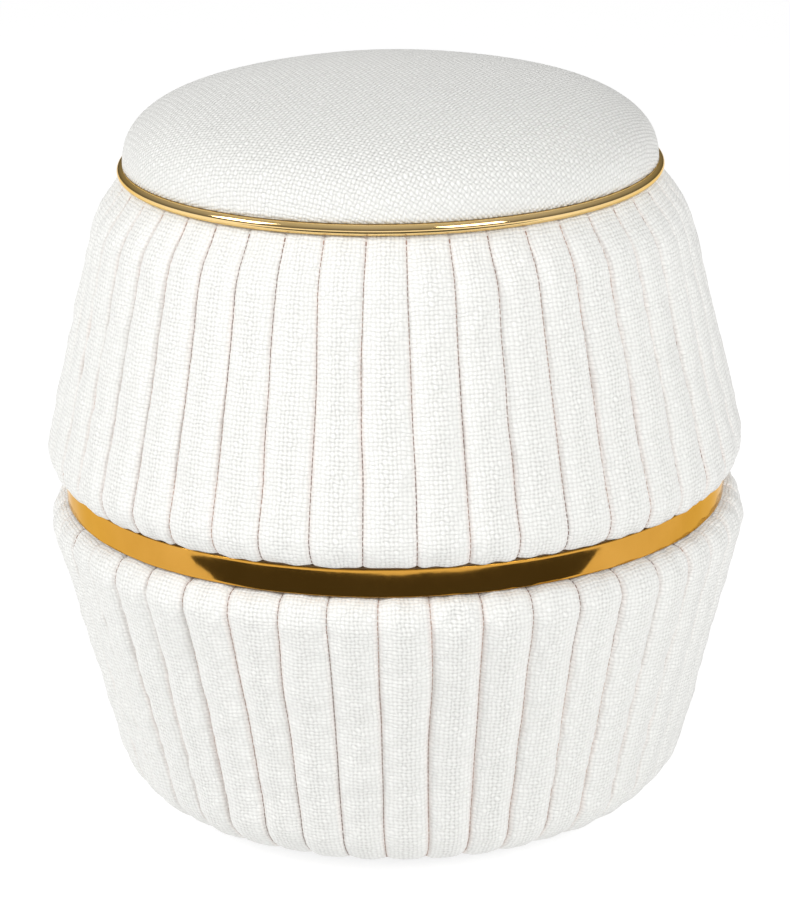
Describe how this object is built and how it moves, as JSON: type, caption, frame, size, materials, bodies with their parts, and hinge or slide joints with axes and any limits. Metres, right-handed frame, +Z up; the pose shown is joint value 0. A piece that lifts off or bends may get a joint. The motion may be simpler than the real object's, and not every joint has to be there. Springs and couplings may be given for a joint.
{
  "type": "upholstered pouf stool",
  "caption": "Round upholstered pouf stool: pleated fabric drums clamped around a brass waist band, a domed seat in a brass ring, and screw-in levelling glides.",
  "frame": {"origin": "on the floor, under the centre of the pouf", "axes": "+Z up along the axis of the drums; the pictured front faces -Y; the butt joint of the waist band is at +Y"},
  "size_m": [0.4502, 0.4502, 0.478],
  "materials": {
    "cover_fabric": "matte",
    "wadding": "matte",
    "foam": "matte",
    "plywood": "matte",
    "hardboard": "matte",
    "brass": "polished",
    "zinc_steel": "satin",
    "dust_cloth": "matte",
    "glide_nylon": "matte"
  },
  "bodies": {
    "pouf": {"seat_cover": "cover_fabric", "seat_wadding": "wadding", "seat_foam": "foam", "seat_board": "plywood", "seat_tee_nuts": "zinc_steel", "seat_bolts": "zinc_steel", "seat_washers": "zinc_steel", "seat_cover_staples": "zinc_steel", "top_ring": "brass", "ring_flange": "brass", "upper_cover": "cover_fabric", "upper_wadding": "wadding", "upper_foam": "foam", "upper_wall": "hardboard", "top_board": "plywood", "upper_ribs": "plywood", "upper_waist_board": "plywood", "upper_screws": "zinc_steel", "upper_cover_staples": "zinc_steel", "waist_band": "brass", "waist_spacer": "plywood", "band_nails": "brass", "drum_bolts": "zinc_steel", "drum_washers": "zinc_steel", "drum_tee_nuts": "zinc_steel", "lower_cover": "cover_fabric", "lower_wadding": "wadding", "lower_foam": "foam", "lower_wall": "hardboard", "lower_waist_board": "plywood", "lower_ribs": "plywood", "base_board": "plywood", "lower_screws": "zinc_steel", "lower_cover_staples": "zinc_steel", "dust_cover": "dust_cloth", "dust_cover_staples": "zinc_steel", "glide_tee_nuts": "zinc_steel"},
    "glide_pad_1": {"glide_pad_1": "glide_nylon"},
    "glide_screw_1": {"glide_screw_1": "zinc_steel"},
    "glide_pad_2": {"glide_pad_2": "glide_nylon"},
    "glide_screw_2": {"glide_screw_2": "zinc_steel"},
    "glide_pad_3": {"glide_pad_3": "glide_nylon"},
    "glide_screw_3": {"glide_screw_3": "zinc_steel"},
    "glide_pad_4": {"glide_pad_4": "glide_nylon"},
    "glide_screw_4": {"glide_screw_4": "zinc_steel"}
  },
  "joints": [
    {"name": "glide_lift_1", "type": "slide", "parent": "pouf", "child": "glide_pad_1", "axis": [0, 0, -1], "range_m": [0, 0.006]},
    {"name": "glide_turn_1", "type": "hinge", "parent": "glide_pad_1", "child": "glide_screw_1", "pos_m": [0.08627, 0.08627, 0], "axis": [0, 0, -1], "range_deg": [0, 1728]},
    {"name": "glide_lift_2", "type": "slide", "parent": "pouf", "child": "glide_pad_2", "axis": [0, 0, -1], "range_m": [0, 0.006]},
    {"name": "glide_turn_2", "type": "hinge", "parent": "glide_pad_2", "child": "glide_screw_2", "pos_m": [-0.08627, 0.08627, 0], "axis": [0, 0, -1], "range_deg": [0, 1728]},
    {"name": "glide_lift_3", "type": "slide", "parent": "pouf", "child": "glide_pad_3", "axis": [0, 0, -1], "range_m": [0, 0.006]},
    {"name": "glide_turn_3", "type": "hinge", "parent": "glide_pad_3", "child": "glide_screw_3", "pos_m": [-0.08627, -0.08627, 0], "axis": [0, 0, -1], "range_deg": [0, 1728]},
    {"name": "glide_lift_4", "type": "slide", "parent": "pouf", "child": "glide_pad_4", "axis": [0, 0, -1], "range_m": [0, 0.006]},
    {"name": "glide_turn_4", "type": "hinge", "parent": "glide_pad_4", "child": "glide_screw_4", "pos_m": [0.08627, -0.08627, 0], "axis": [0, 0, -1], "range_deg": [0, 1728]}
  ],
  "couplings": [
    {"joint": "glide_lift_1", "follows": "glide_turn_1", "m_per_rad": 0.00019894},
    {"joint": "glide_lift_2", "follows": "glide_turn_2", "m_per_rad": 0.00019894},
    {"joint": "glide_lift_3", "follows": "glide_turn_3", "m_per_rad": 0.00019894},
    {"joint": "glide_lift_4", "follows": "glide_turn_4", "m_per_rad": 0.00019894}
  ]
}
